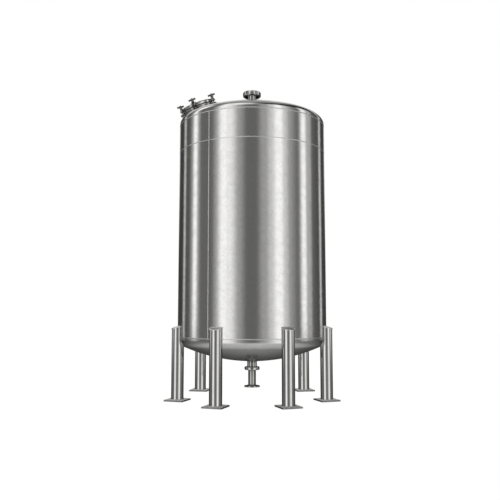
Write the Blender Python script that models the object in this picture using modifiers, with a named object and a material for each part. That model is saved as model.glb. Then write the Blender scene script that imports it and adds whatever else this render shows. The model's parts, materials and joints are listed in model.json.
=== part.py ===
"""A free-standing stainless steel storage tank on six pipe legs.

Metres, +Z up. The front of the tank faces -Y, and +X is to its right. The origin is on the floor
under the middle of the whole object. The tank's own axis stands a little behind it, because the
legs are not spaced evenly and the front ones reach out further.
"""

import math

import bmesh
import bpy
from mathutils import Matrix, Vector

# Welded faces keep this gap, so that no two pieces share a surface.
GAP = 0.0003

# Shell and heads. Radii are outer ones, and the seams are heights above the floor.
SHELL_RADIUS = 1.000
SHELL_WALL = 0.005
SHELL_SEGMENTS = 64
LOWER_SEAM_Z = 0.808
UPPER_SEAM_Z = 3.293
TOP_SEAM_Z = 3.666
TOP_FLANGE = 0.030
TOP_KNUCKLE = 0.086
TOP_CROWN = 2.540
BOTTOM_FLANGE = 0.030
BOTTOM_KNUCKLE = 0.100
BOTTOM_CROWN = 2.250
HEAD_WALL = 0.005
KNUCKLE_STEPS = 3
CROWN_STEPS = 4

# Legs. Angles go round the tank axis from the front, to the right.
LEG_ANGLES = {
    "front_left": -25.3,
    "front_right": 25.3,
    "side_left": -70.4,
    "side_right": 70.4,
    "back_left": -132.7,
    "back_right": 132.7,
}
PLATE_TURNS = {
    "front_left": -20.0,
    "front_right": 20.0,
    "side_left": -20.0,
    "side_right": 20.0,
    "back_left": -12.0,
    "back_right": 12.0,
}
LEG_CIRCLE = 1.022
LEG_RADIUS = 0.080
LEG_WALL = 0.004
LEG_SEGMENTS = 24
LEG_TOP_Z = 0.945
LEG_CAP_SLOPE = 0.30
LEG_CAP_THICKNESS = 0.006
PLATE_SIDE = 0.260
PLATE_THICKNESS = 0.020
PLATE_BEVEL = 0.0015

# Top nozzle: a neck with a male end, closed by a blank under a slotted union nut.
NOZZLE_RADIUS = 0.0585
NOZZLE_WALL = 0.003
NOZZLE_FERRULE_RADIUS = 0.092
NOZZLE_FERRULE_HEIGHT = 0.020
NOZZLE_NUT_RADIUS = 0.125
NOZZLE_NUT_BOTTOM_Z = 4.142
NOZZLE_NUT_TOP_Z = 4.200
NOZZLE_NUT_OPENING = 0.080
NOZZLE_NUT_LIP = 0.010
NOZZLE_NUT_CHAMFER = 0.006
NOZZLE_INSIDE = 0.012
NOZZLE_FLARE = 0.004
NOZZLE_FLARE_LENGTH = 0.014
BLANK_THICKNESS = 0.010
BLANK_RECESS = 0.004
BLANK_CROWN = 0.002
NUT_SLOTS = 8
NUT_SLOT_WIDTH = 0.016
NUT_SLOT_DEPTH = 0.011
NUT_SEGMENTS = 40
NUT_CLEARANCE = 0.0006

# Bottom outlet: a neck, a slotted union nut, a pipe and an end flange.
OUTLET_NECK_RADIUS = 0.0655
OUTLET_WALL = 0.003
OUTLET_NUT_RADIUS = 0.1025
OUTLET_NUT_TOP_Z = 0.405
OUTLET_NUT_BOTTOM_Z = 0.361
OUTLET_NUT_OPENING = 0.0600
OUTLET_NUT_LIP = 0.009
OUTLET_NUT_CHAMFER = 0.010
OUTLET_FERRULE_RADIUS = 0.076
OUTLET_FERRULE_SLOPE = 0.006
OUTLET_FERRULE_RECESS = 0.002
OUTLET_PIPE_RADIUS = 0.0520
OUTLET_LINER_RADIUS = 0.072
OUTLET_LINER_THICKNESS = 0.010
OUTLET_FLANGE_RADIUS = 0.105
OUTLET_FLANGE_THICKNESS = 0.016
OUTLET_FLANGE_HUB = 0.008
OUTLET_FLANGE_HUB_RADIUS = 0.070
OUTLET_END_Z = 0.136
OUTLET_NUT_SLOTS = 6
TUBE_SEGMENTS = 28

# Manway, a round neck on the left of the top head, leaning outwards.
MANWAY_ANGLE = -74.4
MANWAY_OFFSET = 0.737
MANWAY_TILT = 23.0
MANWAY_TILT_ANGLE = -60.8
MANWAY_HEIGHT = 0.073
MANWAY_NECK_RADIUS = 0.203
MANWAY_NECK_WALL = 0.004
MANWAY_RIM_RADIUS = 0.214
MANWAY_RIM_THICKNESS = 0.012
MANWAY_SEGMENTS = 40
GASKET_THICKNESS = 0.014
GASKET_INSET = 0.003
COVER_RIM_TOP = 0.052
COVER_KNUCKLE = 0.016
COVER_CROWN_RISE = 0.014
COVER_WALL = 0.005
COVER_CROWN_STEPS = 3
COVER_KNUCKLE_STEPS = 2

# Swing bolts, four round the manway. Each turns on a pin in a clevis on the neck.
BOLT_CIRCLE = 0.230
FIRST_BOLT_ANGLE = -100.3
BOLT_NAMES = ("front", "right", "back", "left")
PIN_DROP = 0.027
PIN_RADIUS = 0.0070
PIN_CLEARANCE = 0.0003
EYE_RADIUS = 0.0145
EYE_THICKNESS = 0.018
BOLT_RADIUS = 0.009
BOLT_TOP = 0.116
EAR_THICKNESS = 0.012
EAR_GAP = 0.0015
EAR_RADIUS = 0.021
EAR_REACH = 0.014
WEB_THICKNESS = 0.006
CLEVIS_BITE = 0.004
PIN_HEAD = 0.004
LUG_WIDTH = 0.066
LUG_BOTTOM = 0.016
LUG_TOP = 0.060
LUG_REACH = 0.012
LUG_FLARE = 0.015
SLOT_CLEARANCE = 0.003
T_NUT_GAP = 0.0015
T_NUT_RADIUS = 0.0185
T_NUT_TOP = 0.110
T_BAR_HEIGHT = 0.0965
T_BAR_RADIUS = 0.0125
T_BAR_LENGTH = 0.098
T_NUT_TURNS = {"front": 0.0, "right": -70.0, "back": -35.0, "left": -50.0}
SMALL_SEGMENTS = 12
EYE_SEGMENTS = 20

STEEL = (0.62, 0.62, 0.61, 1.0)
BRIGHT_STEEL = (0.74, 0.74, 0.73, 1.0)
SATIN_STEEL = (0.55, 0.55, 0.54, 1.0)
RUBBER = (0.03, 0.03, 0.03, 1.0)


def clear_scene():
    for obj in list(bpy.data.objects):
        bpy.data.objects.remove(obj, do_unlink=True)


def new_collection(name):
    collection = bpy.data.collections.new(name)
    bpy.context.scene.collection.children.link(collection)
    return collection


def new_material(name, colour, roughness, metallic):
    material = bpy.data.materials.new(name)
    material.use_nodes = True
    shader = material.node_tree.nodes["Principled BSDF"]
    shader.inputs["Base Color"].default_value = colour
    shader.inputs["Roughness"].default_value = roughness
    shader.inputs["Metallic"].default_value = metallic
    return material


def steel(name, colour=STEEL, roughness=0.3):
    return new_material(name + "_finish", colour, roughness, 1.0)


def place(obj, collection, material=None, parent=None, smooth=True):
    collection.objects.link(obj)
    if material:
        obj.data.materials.clear()
        obj.data.materials.append(material)
    if parent:
        obj.parent = parent
    if smooth:
        obj.data.shade_smooth()
        obj.data.set_sharp_from_angle(angle=math.radians(35))
    return obj


def as_cutter(obj):
    obj.hide_render = True
    obj.display_type = "WIRE"
    return obj


def turned(name, profile, segments, closed=True):
    """An object turned round Z from (radius, height) points that run down its outer side."""
    mesh = bpy.data.meshes.new(name)
    count = len(profile)
    edges = [(i, i + 1) for i in range(count - 1)]
    if closed:
        edges.append((count - 1, 0))
    mesh.from_pydata([(radius, 0.0, height) for radius, height in profile], edges, [])
    obj = bpy.data.objects.new(name, mesh)
    screw = obj.modifiers.new("turn", "SCREW")
    screw.steps = segments
    screw.render_steps = segments
    screw.use_merge_vertices = True
    screw.merge_threshold = 0.00005
    return obj


def tube_profile(outer, inner, top, bottom):
    return [(outer, top), (outer, bottom), (inner, bottom), (inner, top)]


def box(name, low, high):
    """A box between two corners, with its faces along the axes."""
    mesh = bpy.data.meshes.new(name)
    size = Vector(high) - Vector(low)
    middle = (Vector(high) + Vector(low)) / 2
    work = bmesh.new()
    bmesh.ops.create_cube(work, size=1.0, matrix=Matrix.Translation(middle) @ Matrix.Diagonal((*size, 1.0)))
    work.to_mesh(mesh)
    work.free()
    return bpy.data.objects.new(name, mesh)


def rod(name, radius, start, end, segments=SMALL_SEGMENTS):
    """A round bar from one point to another."""
    mesh = bpy.data.meshes.new(name)
    run = Vector(end) - Vector(start)
    turn = run.to_track_quat("Z", "Y").to_matrix().to_4x4()
    middle = Matrix.Translation((Vector(start) + Vector(end)) / 2)
    work = bmesh.new()
    bmesh.ops.create_cone(
        work, cap_ends=True, segments=segments, radius1=radius, radius2=radius, depth=run.length,
        matrix=middle @ turn,
    )
    work.to_mesh(mesh)
    work.free()
    return bpy.data.objects.new(name, mesh)


def add_boolean(obj, other, operation):
    modifier = obj.modifiers.new(operation.lower() + "_" + other.name, "BOOLEAN")
    modifier.operation = operation
    modifier.solver = "EXACT"
    modifier.object = other


def baked_mesh(obj, name):
    """The object's evaluated mesh, for copies that share it."""
    bpy.context.view_layer.update()
    graph = bpy.context.evaluated_depsgraph_get()
    mesh = bpy.data.meshes.new_from_object(obj.evaluated_get(graph))
    mesh.name = name
    return mesh


def around(angle, radius):
    """The point at this angle and distance from the tank axis, seen from above."""
    turn = math.radians(angle)
    return Vector((radius * math.sin(turn), TANK_AXIS_Y - radius * math.cos(turn), 0.0))


def plate_half_depth(name):
    """How far a base plate reaches from its middle along Y, turned as it stands."""
    turn = math.radians(PLATE_TURNS[name])
    return PLATE_SIDE / 2 * (abs(math.cos(turn)) + abs(math.sin(turn)))


def tank_axis_y():
    """Puts the origin half-way between the front plates' edge and the back of the shell."""
    front = LEG_CIRCLE * math.cos(math.radians(LEG_ANGLES["front_left"])) + plate_half_depth("front_left")
    return (front - SHELL_RADIUS) / 2


TANK_AXIS_Y = tank_axis_y()


def arc(centre, radius, start, end, steps):
    """Points on an arc, by angles in radians from +X, both ends included."""
    points = []
    for i in range(steps + 1):
        angle = start + (end - start) * i / steps
        points.append((centre[0] + radius * math.cos(angle), centre[1] + radius * math.sin(angle)))
    return points


def dish_curve(flange, knuckle, crown, inset, hole):
    """A dished head's curve as (radius, height over its seam), from the hole's edge to the seam.

    The curve lies this far inside the outer face. It is a crown arc, a knuckle arc and a flange.
    """
    knuckle_centre = (SHELL_RADIUS - knuckle, flange)
    crown_drop = math.sqrt((crown - knuckle) ** 2 - (SHELL_RADIUS - knuckle) ** 2)
    crown_centre = (0.0, flange - crown_drop)
    join = math.acos((SHELL_RADIUS - knuckle) / (crown - knuckle))
    points = arc(crown_centre, crown - inset, math.pi / 2, join, CROWN_STEPS)
    if hole:
        points[0] = (hole, crown_centre[1] + math.sqrt((crown - inset) ** 2 - hole**2))
    points += arc(knuckle_centre, knuckle - inset, join, 0.0, KNUCKLE_STEPS)[1:]
    points.append((SHELL_RADIUS - inset, 0.0))
    return points


def top_curve(inset, hole=0.0):
    curve = dish_curve(TOP_FLANGE, TOP_KNUCKLE, TOP_CROWN, inset, hole)
    return [(radius, TOP_SEAM_Z + height) for radius, height in curve]


def bottom_curve(inset, hole=0.0):
    curve = dish_curve(BOTTOM_FLANGE, BOTTOM_KNUCKLE, BOTTOM_CROWN, inset, hole)
    return [(radius, LOWER_SEAM_Z - height) for radius, height in curve]


def crown_height(radius):
    """Height of the top head's outer face at this distance from the tank axis."""
    crown_drop = math.sqrt((TOP_CROWN - TOP_KNUCKLE) ** 2 - (SHELL_RADIUS - TOP_KNUCKLE) ** 2)
    return TOP_SEAM_Z + TOP_FLANGE - crown_drop + math.sqrt(TOP_CROWN**2 - radius**2)


def tank_envelope(cutters):
    """The tank's outer face and the gap around it, as one solid. Legs and neck are cut to it."""
    top = top_curve(-GAP)
    bottom = bottom_curve(-GAP)
    bottom.reverse()
    envelope = turned("tank_envelope", top + bottom, SHELL_SEGMENTS, closed=False)
    envelope.location.y = TANK_AXIS_Y
    return as_cutter(place(envelope, cutters, smooth=False))


def build_shell(parts):
    courses = {
        "shell_main_course": (UPPER_SEAM_Z - GAP / 2, LOWER_SEAM_Z + GAP / 2),
        "shell_top_course": (TOP_SEAM_Z - GAP / 2, UPPER_SEAM_Z + GAP / 2),
    }
    for name, (top, bottom) in courses.items():
        profile = tube_profile(SHELL_RADIUS, SHELL_RADIUS - SHELL_WALL, top, bottom)
        course = turned(name, profile, SHELL_SEGMENTS)
        course.location.y = TANK_AXIS_Y
        place(course, parts, steel(name))


def build_top_head(parts, cutters):
    hole = NOZZLE_RADIUS + GAP
    outer = top_curve(0.0, hole)
    inner = top_curve(HEAD_WALL, hole)
    inner.reverse()
    rim_z = TOP_SEAM_Z + GAP / 2
    outer[-1] = (outer[-1][0], rim_z)
    inner[0] = (inner[0][0], rim_z)
    head = turned("top_head", outer + inner, SHELL_SEGMENTS)
    head.location.y = TANK_AXIS_Y
    place(head, parts, steel("top_head"))
    inner_radius = MANWAY_NECK_RADIUS - MANWAY_NECK_WALL
    reach = 2 * MANWAY_HEIGHT + MANWAY_NECK_RADIUS
    hole_cutter = rod("manway_hole", inner_radius, (0, 0, -reach), (0, 0, reach), MANWAY_SEGMENTS)
    hole_cutter.matrix_world = manway_frame()
    as_cutter(place(hole_cutter, cutters, smooth=False))
    add_boolean(head, hole_cutter, "DIFFERENCE")


def build_bottom_head(parts):
    hole = OUTLET_NECK_RADIUS + GAP
    outer = bottom_curve(0.0, hole)
    inner = bottom_curve(HEAD_WALL, hole)
    outer.reverse()
    rim_z = LOWER_SEAM_Z - GAP / 2
    inner[-1] = (inner[-1][0], rim_z)
    outer[0] = (outer[0][0], rim_z)
    head = turned("bottom_head", inner + outer, SHELL_SEGMENTS)
    head.location.y = TANK_AXIS_Y
    place(head, parts, steel("bottom_head"))


def slanted_plane_cutter(name):
    """A block whose lower face is the slanted top of a leg pipe. The leg's outside is +X."""
    size = 4 * LEG_RADIUS
    block = box("leg_top_cutter_" + name, (-size, -size, 0.0), (size, size, size))
    drop = Matrix.Translation((0, 0, LEG_TOP_Z - LEG_CAP_THICKNESS - GAP))
    block.data.transform(drop @ sloped())
    return block


def sloped():
    """A shear that lets a level face fall towards +X with the caps' slope."""
    shear = Matrix.Identity(4)
    shear[2][0] = -LEG_CAP_SLOPE
    return shear


def build_leg(name, parts, cutters, envelope):
    """A leg pipe cut to the tank, its slanted cap and its base plate."""
    angle = LEG_ANGLES[name]
    foot = around(angle, LEG_CIRCLE)
    outward = math.radians(angle - 90.0)

    pipe_top = LEG_TOP_Z + LEG_RADIUS
    pipe_bottom = PLATE_THICKNESS + GAP
    profile = tube_profile(LEG_RADIUS, LEG_RADIUS - LEG_WALL, pipe_top, pipe_bottom)
    pipe = turned("leg_" + name, profile, LEG_SEGMENTS)
    pipe.location = foot
    pipe.rotation_euler.z = outward
    place(pipe, parts, steel("leg_" + name, BRIGHT_STEEL, 0.22))
    top_cutter = slanted_plane_cutter(name)
    top_cutter.location = foot
    top_cutter.rotation_euler.z = outward
    as_cutter(place(top_cutter, cutters, smooth=False))
    add_boolean(pipe, top_cutter, "DIFFERENCE")
    add_boolean(pipe, envelope, "DIFFERENCE")

    half = LEG_CAP_THICKNESS / 2
    cap = rod("leg_cap_" + name, LEG_RADIUS, (0, 0, -half), (0, 0, half), LEG_SEGMENTS)
    cap.data.transform(Matrix.Translation((0, 0, LEG_TOP_Z - half)) @ sloped())
    cap.location = foot
    cap.rotation_euler.z = outward
    place(cap, parts, steel("leg_cap_" + name, BRIGHT_STEEL, 0.25))
    add_boolean(cap, envelope, "DIFFERENCE")

    side = PLATE_SIDE / 2
    plate = box("base_plate_" + name, (-side, -side, 0.0), (side, side, PLATE_THICKNESS))
    plate.location = foot
    plate.rotation_euler.z = math.radians(PLATE_TURNS[name])
    place(plate, parts, steel("base_plate_" + name, SATIN_STEEL, 0.35), smooth=False)
    bevel = plate.modifiers.new("edges", "BEVEL")
    bevel.width = PLATE_BEVEL
    bevel.segments = 1


def nut_outside(radius, top, bottom, chamfer):
    """The outer side of a union nut's section, with both edges bevelled."""
    return [
        (radius - chamfer, top),
        (radius, top - chamfer),
        (radius, bottom + chamfer),
        (radius - chamfer, bottom),
    ]


def cut_nut_slots(nut, radius, count, top, bottom, cutters):
    """The hook-spanner slots round a union nut's rim, cut by one object of equal blocks."""
    work = bmesh.new()
    reach = 2 * NUT_SLOT_DEPTH
    size = Vector((reach, NUT_SLOT_WIDTH, 3 * (top - bottom)))
    for i in range(count):
        turn = Matrix.Rotation(2 * math.pi * (i + 0.5) / count, 4, "Z")
        out = Matrix.Translation((radius - NUT_SLOT_DEPTH + reach / 2, 0, (top + bottom) / 2))
        bmesh.ops.create_cube(work, size=1.0, matrix=turn @ out @ Matrix.Diagonal((*size, 1.0)))
    mesh = bpy.data.meshes.new(nut.name + "_slots")
    work.to_mesh(mesh)
    work.free()
    slots = bpy.data.objects.new(mesh.name, mesh)
    slots.location = nut.location
    as_cutter(place(slots, cutters, smooth=False))
    add_boolean(nut, slots, "DIFFERENCE")


def build_top_nozzle(parts, cutters):
    axis = Vector((0.0, TANK_AXIS_Y, 0.0))
    inner = NOZZLE_RADIUS - NOZZLE_WALL
    inside_z = crown_height(0.0) - HEAD_WALL - NOZZLE_INSIDE
    blank_top = NOZZLE_NUT_TOP_Z - NOZZLE_NUT_LIP - NUT_CLEARANCE
    blank_bottom = blank_top - BLANK_THICKNESS
    ferrule_top = blank_bottom - GAP
    ferrule_bottom = ferrule_top - NOZZLE_FERRULE_HEIGHT
    neck_profile = [
        (NOZZLE_FERRULE_RADIUS, ferrule_top),
        (NOZZLE_FERRULE_RADIUS, ferrule_bottom),
        (NOZZLE_RADIUS + NOZZLE_FLARE, NOZZLE_NUT_BOTTOM_Z),
        (NOZZLE_RADIUS, NOZZLE_NUT_BOTTOM_Z - NOZZLE_FLARE_LENGTH),
        (NOZZLE_RADIUS, inside_z),
        (inner, inside_z),
        (inner, ferrule_top),
    ]
    neck = turned("top_nozzle_neck", neck_profile, TUBE_SEGMENTS)
    neck.location = axis
    place(neck, parts, steel("top_nozzle_neck", BRIGHT_STEEL, 0.2))

    blank_edge = NOZZLE_FERRULE_RADIUS
    raised = NOZZLE_NUT_OPENING - NUT_CLEARANCE
    raised_top = NOZZLE_NUT_TOP_Z - BLANK_RECESS
    blank_profile = [
        (0.0, raised_top),
        (raised, raised_top - BLANK_CROWN),
        (raised, blank_top),
        (blank_edge, blank_top),
        (blank_edge, blank_bottom),
        (0.0, blank_bottom),
    ]
    blank = turned("top_nozzle_blank", blank_profile, TUBE_SEGMENTS, closed=False)
    blank.location = axis
    place(blank, parts, steel("top_nozzle_blank", STEEL, 0.25))

    thread = NOZZLE_FERRULE_RADIUS + NUT_CLEARANCE
    lip_z = NOZZLE_NUT_TOP_Z - NOZZLE_NUT_LIP
    nut_inside = [
        (thread, NOZZLE_NUT_BOTTOM_Z),
        (thread, lip_z),
        (NOZZLE_NUT_OPENING, lip_z),
        (NOZZLE_NUT_OPENING, NOZZLE_NUT_TOP_Z),
    ]
    outside = nut_outside(
        NOZZLE_NUT_RADIUS, NOZZLE_NUT_TOP_Z, NOZZLE_NUT_BOTTOM_Z, NOZZLE_NUT_CHAMFER
    )
    nut = turned("top_nozzle_nut", outside + nut_inside, NUT_SEGMENTS)
    nut.location = axis
    place(nut, parts, steel("top_nozzle_nut", BRIGHT_STEEL, 0.2))
    cut_nut_slots(nut, NOZZLE_NUT_RADIUS, NUT_SLOTS, NOZZLE_NUT_TOP_Z, NOZZLE_NUT_BOTTOM_Z, cutters)


def build_outlet(parts, cutters):
    axis = Vector((0.0, TANK_AXIS_Y, 0.0))
    liner_bottom = OUTLET_NUT_BOTTOM_Z + OUTLET_NUT_LIP + NUT_CLEARANCE
    liner_top = liner_bottom + OUTLET_LINER_THICKNESS
    ferrule_bottom = liner_top + GAP
    ferrule_top = OUTLET_NUT_TOP_Z - OUTLET_FERRULE_RECESS
    inside_z = bottom_curve(HEAD_WALL)[0][1] + HEAD_WALL
    neck_profile = [
        (OUTLET_NECK_RADIUS, inside_z),
        (OUTLET_NECK_RADIUS, ferrule_top + OUTLET_FERRULE_SLOPE),
        (OUTLET_FERRULE_RADIUS, ferrule_top),
        (OUTLET_FERRULE_RADIUS, ferrule_bottom),
        (OUTLET_PIPE_RADIUS - OUTLET_WALL, ferrule_bottom),
        (OUTLET_PIPE_RADIUS - OUTLET_WALL, ferrule_top),
        (OUTLET_NECK_RADIUS - OUTLET_WALL, ferrule_top + OUTLET_FERRULE_SLOPE),
        (OUTLET_NECK_RADIUS - OUTLET_WALL, inside_z),
    ]
    neck = turned("outlet_neck", neck_profile, TUBE_SEGMENTS)
    neck.location = axis
    place(neck, parts, steel("outlet_neck", STEEL, 0.25))

    thread = OUTLET_FERRULE_RADIUS + NUT_CLEARANCE
    lip_z = OUTLET_NUT_BOTTOM_Z + OUTLET_NUT_LIP
    nut_inside = [
        (OUTLET_NUT_OPENING, OUTLET_NUT_BOTTOM_Z),
        (OUTLET_NUT_OPENING, lip_z),
        (thread, lip_z),
        (thread, OUTLET_NUT_TOP_Z),
    ]
    outside = nut_outside(
        OUTLET_NUT_RADIUS, OUTLET_NUT_TOP_Z, OUTLET_NUT_BOTTOM_Z, OUTLET_NUT_CHAMFER
    )
    nut = turned("outlet_nut", outside + nut_inside, NUT_SEGMENTS)
    nut.location = axis
    place(nut, parts, steel("outlet_nut", BRIGHT_STEEL, 0.22))
    cut_nut_slots(nut, OUTLET_NUT_RADIUS, OUTLET_NUT_SLOTS, OUTLET_NUT_TOP_Z, OUTLET_NUT_BOTTOM_Z, cutters)

    inner = OUTLET_PIPE_RADIUS - OUTLET_WALL
    pipe_profile = [
        (OUTLET_LINER_RADIUS, liner_top),
        (OUTLET_LINER_RADIUS, liner_bottom),
        (OUTLET_NUT_OPENING - NUT_CLEARANCE, liner_bottom),
        (OUTLET_PIPE_RADIUS, liner_bottom - OUTLET_NUT_LIP),
        (OUTLET_PIPE_RADIUS, OUTLET_END_Z),
        (inner, OUTLET_END_Z),
        (inner, liner_top),
    ]
    pipe = turned("outlet_pipe", pipe_profile, TUBE_SEGMENTS)
    pipe.location = axis
    place(pipe, parts, steel("outlet_pipe", STEEL, 0.25))

    flange_top = OUTLET_END_Z + OUTLET_FLANGE_THICKNESS
    bore = OUTLET_PIPE_RADIUS + GAP
    flange_profile = [
        (bore, flange_top + OUTLET_FLANGE_HUB),
        (OUTLET_FLANGE_HUB_RADIUS, flange_top + OUTLET_FLANGE_HUB),
        (OUTLET_FLANGE_RADIUS, flange_top),
        (OUTLET_FLANGE_RADIUS, OUTLET_END_Z),
        (bore, OUTLET_END_Z),
    ]
    flange = turned("outlet_flange", flange_profile, NUT_SEGMENTS)
    flange.location = axis
    place(flange, parts, steel("outlet_flange", BRIGHT_STEEL, 0.25))


def manway_frame():
    """The manway's own frame, with +Z along its axis and +X towards the front swing bolt.

    The origin is on the axis, in the plane of the neck's top face.
    """
    seat = around(MANWAY_ANGLE, MANWAY_OFFSET)
    seat.z = crown_height(MANWAY_OFFSET)
    across = around(MANWAY_TILT_ANGLE, 1.0) - around(MANWAY_TILT_ANGLE, 0.0)
    tilt_axis = Vector((0, 0, 1)).cross(across)
    tilt = Matrix.Rotation(math.radians(MANWAY_TILT), 4, tilt_axis)
    turn = Matrix.Rotation(math.radians(FIRST_BOLT_ANGLE), 4, "Z")
    return Matrix.Translation(seat) @ tilt @ Matrix.Translation((0, 0, MANWAY_HEIGHT)) @ turn


def new_empty(name, parts, matrix):
    empty = bpy.data.objects.new(name, None)
    parts.objects.link(empty)
    empty.matrix_world = matrix
    return empty


def build_manway_neck(parts, frame, envelope):
    """The neck with its rim and gasket. The neck is drawn into the tank and cut to the head."""
    rim_inner = MANWAY_NECK_RADIUS + GAP
    neck_profile = tube_profile(
        MANWAY_NECK_RADIUS, MANWAY_NECK_RADIUS - MANWAY_NECK_WALL, 0.0, -3 * MANWAY_HEIGHT
    )
    neck = turned("manway_neck", neck_profile, MANWAY_SEGMENTS)
    place(neck, parts, steel("manway_neck", BRIGHT_STEEL, 0.2), frame)
    add_boolean(neck, envelope, "DIFFERENCE")

    rim = turned(
        "manway_rim", tube_profile(MANWAY_RIM_RADIUS, rim_inner, 0.0, -MANWAY_RIM_THICKNESS), MANWAY_SEGMENTS
    )
    place(rim, parts, steel("manway_rim", BRIGHT_STEEL, 0.22), frame)

    gasket_outer = MANWAY_RIM_RADIUS - GASKET_INSET
    gasket_inner = MANWAY_NECK_RADIUS - MANWAY_NECK_WALL
    gasket_profile = tube_profile(gasket_outer, gasket_inner, GASKET_THICKNESS, GAP)
    gasket = turned("manway_gasket", gasket_profile, MANWAY_SEGMENTS)
    place(gasket, parts, new_material("manway_gasket_finish", RUBBER, 0.7, 0.0), frame)


def cover_curve(inset):
    """The cover's section from its middle to its lower edge, this far inside the outer face."""
    shoulder = (MANWAY_RIM_RADIUS - COVER_KNUCKLE, COVER_RIM_TOP - COVER_KNUCKLE)
    flat = MANWAY_RIM_RADIUS - COVER_KNUCKLE
    crown_radius = (flat**2 + COVER_CROWN_RISE**2) / (2 * COVER_CROWN_RISE)
    crown_centre = (0.0, COVER_RIM_TOP + COVER_CROWN_RISE - crown_radius)
    join = math.asin(flat / crown_radius)
    points = arc(crown_centre, crown_radius - inset, math.pi / 2, math.pi / 2 - join, COVER_CROWN_STEPS)[:-1]
    points += arc(shoulder, COVER_KNUCKLE - inset, math.pi / 2 - join, 0.0, COVER_KNUCKLE_STEPS)
    points.append((MANWAY_RIM_RADIUS - inset, GASKET_THICKNESS + GAP))
    return points


def build_cover(parts, cutters, frame):
    """The dished cover, with a slotted lug at each swing bolt made in one with it."""
    outer = cover_curve(0.0)
    inner = cover_curve(COVER_WALL)
    inner.reverse()
    cover = turned("manway_cover", outer + inner, MANWAY_SEGMENTS, closed=False)
    place(cover, parts, steel("manway_cover", BRIGHT_STEEL, 0.2), frame)
    half_slot = BOLT_RADIUS + SLOT_CLEARANCE
    slot_low = (BOLT_CIRCLE - half_slot, -half_slot, LUG_BOTTOM - LUG_WIDTH)
    slot_high = (BOLT_CIRCLE + LUG_WIDTH, half_slot, LUG_TOP + LUG_WIDTH)
    for name, angle in bolt_angles():
        turn = Matrix.Rotation(angle, 4, "Z")
        for block, operation in (
            (lug_block("lug_block_" + name), "UNION"),
            (box("lug_slot_" + name, slot_low, slot_high), "DIFFERENCE"),
        ):
            block.matrix_local = turn
            as_cutter(place(block, cutters, parent=frame, smooth=False))
            add_boolean(cover, block, operation)


def lug_block(name):
    """A lug before its slot is cut, on +X, with an outer face that spreads towards its foot."""
    outer = BOLT_CIRCLE + LUG_REACH
    low = (MANWAY_RIM_RADIUS - COVER_WALL / 2, -LUG_WIDTH / 2, LUG_BOTTOM)
    block = box(name, low, (outer, LUG_WIDTH / 2, LUG_TOP))
    middle = (LUG_BOTTOM + LUG_TOP) / 2
    for vertex in block.data.vertices:
        if vertex.co.x > outer - LUG_REACH and vertex.co.z < middle:
            vertex.co.x += LUG_FLARE
    return block


def bolt_angles():
    """Each swing bolt's name and its angle round the manway's axis, a quarter turn apart."""
    return [(name, i * math.pi / 2) for i, name in enumerate(BOLT_NAMES)]


def swing_bolt_mesh(cutters):
    """An eye bolt with its eye's middle at the origin and its shank along +Z."""
    shank_top = PIN_DROP + BOLT_TOP
    bolt = rod("swing_bolt_shape", BOLT_RADIUS, (0, 0, EYE_RADIUS / 2), (0, 0, shank_top))
    half = EYE_THICKNESS / 2
    eye = rod("swing_bolt_eye", EYE_RADIUS, (0, -half, 0), (0, half, 0), EYE_SEGMENTS)
    hole = rod("swing_bolt_hole", PIN_RADIUS + PIN_CLEARANCE, (0, -EYE_THICKNESS, 0), (0, EYE_THICKNESS, 0))
    return combined(bolt, [eye], [hole], cutters, "swing_bolt")


def clevis_mesh(cutters):
    """Two ears, the web that joins them and the pin, with the pin's middle at the origin."""
    inner = EYE_THICKNESS / 2 + EAR_GAP
    outer = inner + EAR_THICKNESS
    back = -(BOLT_CIRCLE - MANWAY_NECK_RADIUS)
    top = PIN_DROP - MANWAY_RIM_THICKNESS - GAP
    pin = rod("clevis_pin", PIN_RADIUS, (0, -outer - PIN_HEAD, 0), (0, outer + PIN_HEAD, 0))
    web_face = back + GAP + WEB_THICKNESS
    web = box("clevis_web", (back - CLEVIS_BITE, -outer, -EAR_RADIUS), (web_face, outer, top))
    joined = [web]
    for side, name in ((-1, "a"), (1, "b")):
        low, high = sorted((side * inner, side * outer))
        corner = (back - CLEVIS_BITE, low, -EAR_RADIUS)
        joined.append(box("clevis_ear_" + name, corner, (EAR_REACH, high, top)))
        start, end = (EAR_REACH, low, 0), (EAR_REACH, high, 0)
        joined.append(rod("clevis_end_" + name, EAR_RADIUS, start, end, EYE_SEGMENTS))
    neck = rod("clevis_neck", MANWAY_NECK_RADIUS + GAP, (0, 0, -1), (0, 0, 1), MANWAY_SEGMENTS)
    neck.data.transform(Matrix.Translation((-BOLT_CIRCLE, 0, 0)))
    return combined(pin, joined, [neck], cutters, "clevis")


def t_nut_mesh(cutters):
    """A round nut with a cross bar, with the pin's middle at the origin as on the bolt."""
    bottom = PIN_DROP + LUG_TOP + T_NUT_GAP
    top = PIN_DROP + T_NUT_TOP
    boss = rod("t_nut_shape", T_NUT_RADIUS, (0, 0, bottom), (0, 0, top))
    bar_z = PIN_DROP + T_BAR_HEIGHT
    half = T_BAR_LENGTH / 2
    bar = rod("t_nut_bar", T_BAR_RADIUS, (0, -half, bar_z), (0, half, bar_z))
    bore = rod("t_nut_bore", BOLT_RADIUS + GAP, (0, 0, 0), (0, 0, 2 * top))
    return combined(boss, [bar], [bore], cutters, "t_nut")


def combined(base, joined, removed, cutters, name):
    """One mesh from a base shape, the shapes joined to it and the shapes removed from it."""
    cutters.objects.link(base)
    base.hide_render = True
    for other, operation in [(o, "UNION") for o in joined] + [(o, "DIFFERENCE") for o in removed]:
        cutters.objects.link(other)
        as_cutter(other)
        add_boolean(base, other, operation)
    mesh = baked_mesh(base, name)
    for obj in [base] + joined + removed:
        bpy.data.objects.remove(obj, do_unlink=True)
    return mesh


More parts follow.
